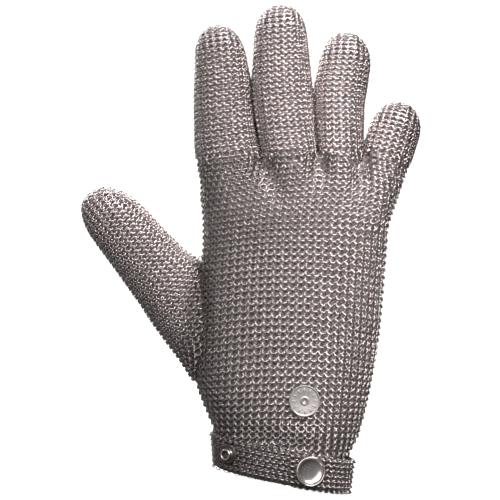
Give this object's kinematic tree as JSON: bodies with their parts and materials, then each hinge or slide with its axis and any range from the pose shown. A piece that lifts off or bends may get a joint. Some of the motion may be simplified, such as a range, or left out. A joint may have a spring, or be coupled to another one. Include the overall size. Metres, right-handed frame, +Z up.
{
  "type": "chainmail glove",
  "caption": "Cut-resistant glove of steel ring mail in its worn form, with a mail wrist strap closed by a dished snap, a spare stud and a round disc.",
  "frame": {"origin": "centre of the wrist opening, where the arm goes in", "axes": "+Z up to the fingertips, the back of the hand faces -Y, the thumb is on the -X side"},
  "size_m": [0.1643, 0.0505, 0.2348],
  "materials": {
    "mail": "woven round-wire rings, worn satin",
    "strap_mail": "woven round-wire rings, worn satin",
    "snap": "pressed and polished",
    "stud": "turned, dulled by use",
    "disc": "fine satin with a raised rim"
  },
  "bodies": {
    "root": {"hand": "mail", "thumb": "mail", "index_finger": "mail", "middle_finger": "mail", "ring_finger": "mail", "little_finger": "mail", "wrist_strap": "strap_mail", "snap_cap": "snap", "ring_stud": "stud", "badge_disc": "disc"}
  },
  "joints": []
}
